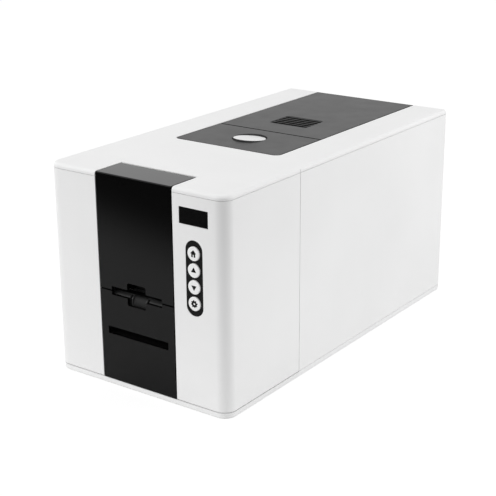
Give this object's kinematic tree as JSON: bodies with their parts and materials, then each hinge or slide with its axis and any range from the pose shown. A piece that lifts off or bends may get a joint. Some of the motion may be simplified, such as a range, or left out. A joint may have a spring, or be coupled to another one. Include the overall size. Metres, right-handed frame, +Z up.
{
  "type": "id card printer",
  "caption": "Desktop plastic card printer with a wrap-over front door, card slots, display, keys, release button and a hinged lid over the ribbon and print head.",
  "frame": {"origin": "centre of the bounding box's bottom face, on the floor", "axes": "+Z up, front faces -Y, +X to the right seen from the front"},
  "size_m": [0.192, 0.379, 0.197],
  "materials": {
    "white_shell": "fine matt moulded white plastic",
    "black_panel": "smooth black moulded plastic with a soft sheen",
    "dark_deck": "matt dark grey moulded plastic",
    "dark_inner": "matt black moulded plastic",
    "window_glass": "clear black window, polished",
    "white_key": "white moulded key plastic",
    "sheet_steel": "zinc plated sheet steel",
    "steel": "ground steel pins and screws",
    "aluminium": "extruded aluminium",
    "rubber": "matt rubber",
    "clean_rubber": "tacky blue silicone rubber",
    "board": "green circuit board",
    "bushing": "sintered bronze",
    "gear_plastic": "natural acetal",
    "brass": "machined brass",
    "ceramic": "ceramic head strip on its carrier",
    "film": "thin coloured transfer film",
    "motor_black": "black painted motor can",
    "frame_grey": "light grey moulded cartridge plastic"
  },
  "bodies": {
    "root": {"base_tray": "white_shell", "rubber_feet": "rubber", "front_shell": "white_shell", "rear_shell": "white_shell", "top_cover": "white_shell", "button_panel": "dark_deck", "lower_front_panel": "black_panel", "slot_guide": "dark_inner", "display_window": "window_glass", "key_bezel": "black_panel", "front_board": "board", "chassis_floor": "sheet_steel", "left_plate": "sheet_steel", "right_plate": "sheet_steel", "card_hopper": "dark_inner", "output_chute": "dark_inner", "card_guides": "dark_inner", "shaft_bushes": "bushing", "drive_motor": "motor_black", "timing_belt": "rubber", "ribbon_motor": "motor_black", "cartridge_frame": "frame_grey", "ribbon_film": "film", "main_board": "board", "power_supply": "sheet_steel", "io_plate": "dark_inner", "power_inlet": "dark_inner", "data_sockets": "sheet_steel", "hinge_pins": "steel", "case_screws": "steel"},
    "lid": {"lid_panel": "dark_deck", "vent_grille": "dark_deck", "fan_frame": "dark_inner", "head_bracket": "sheet_steel", "print_head": "ceramic", "heat_sink": "aluminium"},
    "fan": {"fan_rotor": "dark_inner"},
    "door": {"front_door": "black_panel"},
    "button": {"release_button": "white_key"},
    "latch": {"latch_slide": "dark_inner"},
    "home_key": {"key_home": "white_key"},
    "up_key": {"key_up": "white_key"},
    "down_key": {"key_down": "white_key"},
    "menu_key": {"key_menu": "white_key"},
    "rocker": {"power_rocker": "dark_inner"},
    "weight": {"card_weight": "dark_inner"},
    "drive": {"drive_pulley": "steel"},
    "pick": {"pick_roller": "rubber"},
    "feed": {"feed_roller": "rubber"},
    "support": {"support_roller": "rubber"},
    "platen": {"platen_roller": "rubber"},
    "rear_drive": {"rear_roller": "rubber"},
    "pinch": {"pinch_roller": "rubber"},
    "cleaning": {"cleaning_roller": "clean_rubber"},
    "rear_idler": {"rear_pinch": "rubber"},
    "takeup": {"takeup_spool": "dark_inner", "takeup_gear": "gear_plastic"},
    "supply": {"supply_spool": "film"},
    "pinion": {"ribbon_pinion": "brass"},
    "gate": {"diverter_gate": "dark_inner"}
  },
  "joints": [
    {"name": "door_hinge", "type": "hinge", "parent": "root", "child": "door", "pos_m": [0, -0.1572, 0.1933], "axis": [-1, 0, 0], "range_deg": [0, 90]},
    {"name": "lid_hinge", "type": "hinge", "parent": "root", "child": "lid", "pos_m": [0, 0.1853, 0.1923], "axis": [-1, 0, 0], "range_deg": [0, 85]},
    {"name": "fan_spin", "type": "hinge", "parent": "lid", "child": "fan", "pos_m": [0, 0.0562, 0.186], "axis": [0, 0, 1], "continuous": true},
    {"name": "button_press", "type": "slide", "parent": "root", "child": "button", "axis": [0, 0, -1], "range_m": [0, 0.002], "stiffness_N_per_m": 500, "springref_m": -0.002},
    {"name": "latch_travel", "type": "slide", "parent": "root", "child": "latch", "axis": [0, -1, 0], "range_m": [0, 0.002]},
    {"name": "home_press", "type": "slide", "parent": "root", "child": "home_key", "axis": [0, 1, 0], "range_m": [0, 0.0008], "stiffness_N_per_m": 700, "springref_m": -0.0006},
    {"name": "up_press", "type": "slide", "parent": "root", "child": "up_key", "axis": [0, 1, 0], "range_m": [0, 0.0008], "stiffness_N_per_m": 700, "springref_m": -0.0006},
    {"name": "down_press", "type": "slide", "parent": "root", "child": "down_key", "axis": [0, 1, 0], "range_m": [0, 0.0008], "stiffness_N_per_m": 700, "springref_m": -0.0006},
    {"name": "menu_press", "type": "slide", "parent": "root", "child": "menu_key", "axis": [0, 1, 0], "range_m": [0, 0.0008], "stiffness_N_per_m": 700, "springref_m": -0.0006},
    {"name": "rocker_tip", "type": "hinge", "parent": "root", "child": "rocker", "pos_m": [-0.01, 0.1805, 0.036], "axis": [1, 0, 0], "range_deg": [-16, 0]},
    {"name": "weight_travel", "type": "slide", "parent": "root", "child": "weight", "axis": [0, 0, 1], "range_m": [0, 0.08]},
    {"name": "drive_spin", "type": "hinge", "parent": "root", "child": "drive", "pos_m": [0, 0.0115, 0.042], "axis": [1, 0, 0], "continuous": true},
    {"name": "pick_spin", "type": "hinge", "parent": "root", "child": "pick", "pos_m": [0, -0.118, 0.081], "axis": [1, 0, 0], "continuous": true},
    {"name": "feed_spin", "type": "hinge", "parent": "root", "child": "feed", "pos_m": [0, -0.082, 0.081], "axis": [1, 0, 0], "continuous": true},
    {"name": "support_spin", "type": "hinge", "parent": "root", "child": "support", "pos_m": [0, -0.02, 0.081], "axis": [1, 0, 0], "continuous": true},
    {"name": "platen_spin", "type": "hinge", "parent": "root", "child": "platen", "pos_m": [0, 0.058, 0.081], "axis": [1, 0, 0], "continuous": true},
    {"name": "rear_spin", "type": "hinge", "parent": "root", "child": "rear_drive", "pos_m": [0, 0.1, 0.081], "axis": [1, 0, 0], "continuous": true},
    {"name": "pinch_spin", "type": "hinge", "parent": "root", "child": "pinch", "pos_m": [0, -0.082, 0.0955], "axis": [1, 0, 0], "continuous": true},
    {"name": "cleaning_spin", "type": "hinge", "parent": "root", "child": "cleaning", "pos_m": [0, -0.02, 0.0975], "axis": [1, 0, 0], "continuous": true},
    {"name": "rear_pinch_spin", "type": "hinge", "parent": "root", "child": "rear_idler", "pos_m": [0, 0.1, 0.0955], "axis": [1, 0, 0], "continuous": true},
    {"name": "takeup_spin", "type": "hinge", "parent": "root", "child": "takeup", "pos_m": [0, 0.022, 0.11], "axis": [1, 0, 0], "continuous": true},
    {"name": "supply_spin", "type": "hinge", "parent": "root", "child": "supply", "pos_m": [0, 0.118, 0.128], "axis": [1, 0, 0], "continuous": true},
    {"name": "pinion_spin", "type": "hinge", "parent": "root", "child": "pinion", "pos_m": [0, -0.0022, 0.11], "axis": [1, 0, 0], "continuous": true},
    {"name": "gate_tip", "type": "hinge", "parent": "root", "child": "gate", "pos_m": [0, 0.026, 0.084], "axis": [1, 0, 0], "range_deg": [0, 12]}
  ],
  "couplings": [
    {"joint": "latch_travel", "follows": "button_press", "ratio": 1},
    {"joint": "pick_spin", "follows": "drive_spin", "ratio": 1},
    {"joint": "feed_spin", "follows": "drive_spin", "ratio": 1},
    {"joint": "support_spin", "follows": "drive_spin", "ratio": 1},
    {"joint": "platen_spin", "follows": "drive_spin", "ratio": 1},
    {"joint": "rear_spin", "follows": "drive_spin", "ratio": 1},
    {"joint": "pinch_spin", "follows": "drive_spin", "ratio": -1.3333},
    {"joint": "cleaning_spin", "follows": "drive_spin", "ratio": -1},
    {"joint": "rear_pinch_spin", "follows": "drive_spin", "ratio": -1.3333},
    {"joint": "pinion_spin", "follows": "takeup_spin", "ratio": -3},
    {"joint": "supply_spin", "follows": "takeup_spin", "ratio": 0.53333}
  ]
}
